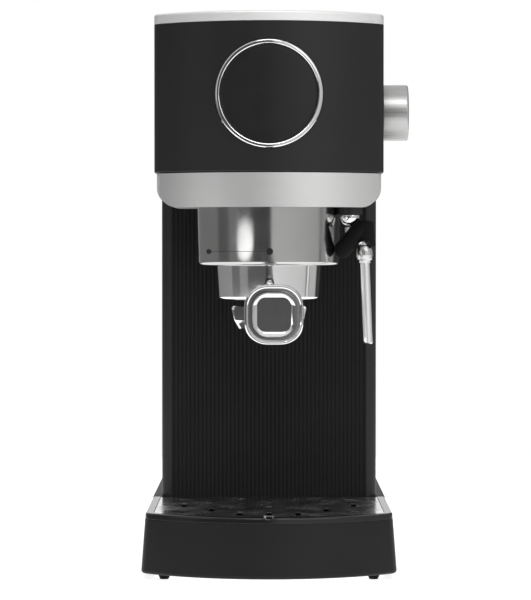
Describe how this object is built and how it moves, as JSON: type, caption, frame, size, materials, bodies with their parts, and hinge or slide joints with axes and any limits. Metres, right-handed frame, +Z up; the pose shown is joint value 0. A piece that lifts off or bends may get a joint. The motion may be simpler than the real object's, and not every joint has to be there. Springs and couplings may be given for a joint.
{
  "type": "espresso machine",
  "caption": "Slim pump espresso machine with a bowed dark housing, round control ring, locking portafilter, steam wand, side steam knob, drip tray and rear water tank.",
  "frame": {"origin": "on the surface that the feet stand on, in the machine's centre plane and midway along its base", "axes": "+Z up through the cup-warming plate, front towards -Y, steam knob on the +X side"},
  "size_m": [0.1514, 0.3896, 0.315],
  "materials": {
    "shell_paint": "satin",
    "dark_plastic": "fine grain",
    "silver_plastic": "satin",
    "ribbed_plastic": "fine ribs",
    "tray_plastic": "semi-gloss",
    "lid_plastic": "satin",
    "plate_steel": "zinc plated",
    "brushed_trim": "brushed",
    "polished_steel": "polished",
    "chrome_trim": "polished",
    "smoked_gloss": "high gloss",
    "knob_aluminium": "turned",
    "handle_plastic": "satin",
    "black_rubber": "matt",
    "clear_tank": "clear smoked",
    "white_plastic": "moulded",
    "cast_aluminium": "cast",
    "steel_parts": "plain",
    "brass_parts": "machined",
    "socket_plastic": "moulded",
    "copper_coil": "enamelled",
    "circuit_board": "coated"
  },
  "bodies": {
    "machine": {"base_plate": "plate_steel", "rubber_feet": "black_rubber", "housing_screws": "steel_parts", "base_housing": "dark_plastic", "cord_gland": "black_rubber", "ribbed_front_panel": "ribbed_plastic", "column_side_left": "shell_paint", "column_side_right": "shell_paint", "rear_panel": "dark_plastic", "head_shell": "shell_paint", "top_plate": "brushed_trim", "chassis_deck": "dark_plastic", "nose_pan": "silver_plastic", "trim_band": "brushed_trim", "control_bezel": "chrome_trim", "control_lens": "smoked_gloss", "control_board": "circuit_board", "power_board": "circuit_board", "group_head": "cast_aluminium", "group_skirt": "polished_steel", "brew_gasket": "black_rubber", "shower_screen": "polished_steel", "screen_screw": "steel_parts", "group_bolts": "steel_parts", "boiler_base": "cast_aluminium", "boiler_seal": "black_rubber", "boiler_cap": "cast_aluminium", "heating_element": "steel_parts", "thermostats": "circuit_board", "pump_body": "white_plastic", "pump_coil": "copper_coil", "pump_mounts": "black_rubber", "pump_bracket": "plate_steel", "solenoid_valve": "brass_parts", "tank_port": "white_plastic", "inlet_hose": "white_plastic", "pressure_hose": "white_plastic", "steam_hose": "steel_parts", "steam_valve": "brass_parts", "wand_socket": "socket_plastic"},
    "knob": {"steam_knob": "knob_aluminium", "knob_spindle": "steel_parts"},
    "portafilter": {"portafilter_body": "chrome_trim", "filter_basket": "polished_steel", "basket_spring": "steel_parts", "spout_block": "chrome_trim", "handle_grip": "handle_plastic", "handle_ring": "chrome_trim", "handle_cap": "chrome_trim"},
    "wand_swivel": {"wand_ball": "chrome_trim"},
    "wand": {"wand_pipe": "chrome_trim", "wand_grip": "black_rubber"},
    "tray": {"drip_tray": "tray_plastic"},
    "grid": {"drip_grid": "polished_steel"},
    "tank": {"water_tank": "clear_tank", "tank_valve": "white_plastic", "lid_pin": "steel_parts", "valve_spring": "steel_parts"},
    "lid": {"tank_lid": "lid_plastic"},
    "plunger": {"valve_plunger": "white_plastic"}
  },
  "joints": [
    {"name": "steam_knob_turn", "type": "hinge", "parent": "machine", "child": "knob", "pos_m": [0.065, -0.07, 0.2628], "axis": [1, 0, 0], "range_deg": [0, 240]},
    {"name": "portafilter_lock", "type": "hinge", "parent": "machine", "child": "portafilter", "pos_m": [0, -0.077, 0.17], "axis": [0, 0, -1], "range_deg": [0, 60]},
    {"name": "wand_turn", "type": "hinge", "parent": "machine", "child": "wand_swivel", "pos_m": [0.046, -0.092, 0.2028], "axis": [0, 0, 1], "range_deg": [0, 60]},
    {"name": "wand_tilt", "type": "hinge", "parent": "wand_swivel", "child": "wand", "pos_m": [0.046, -0.092, 0.2028], "axis": [0, -1, 0], "range_deg": [0, 20]},
    {"name": "tray_slide", "type": "slide", "parent": "machine", "child": "tray", "axis": [0, -1, 0], "range_m": [0, 0.125]},
    {"name": "grid_lift", "type": "slide", "parent": "tray", "child": "grid", "axis": [0, 0, 1], "range_m": [0, 0.04]},
    {"name": "tank_lift", "type": "slide", "parent": "machine", "child": "tank", "axis": [0, 0, 1], "range_m": [0, 0.28]},
    {"name": "lid_hinge", "type": "hinge", "parent": "tank", "child": "lid", "pos_m": [0, 0.139, 0.3042], "axis": [-1, 0, 0], "range_deg": [0, 85]},
    {"name": "valve_travel", "type": "slide", "parent": "tank", "child": "plunger", "axis": [0, 0, 1], "range_m": [0, 0.0015], "stiffness_N_per_m": 150, "springref_m": -0.002, "deforming": ["valve_spring"]}
  ]
}
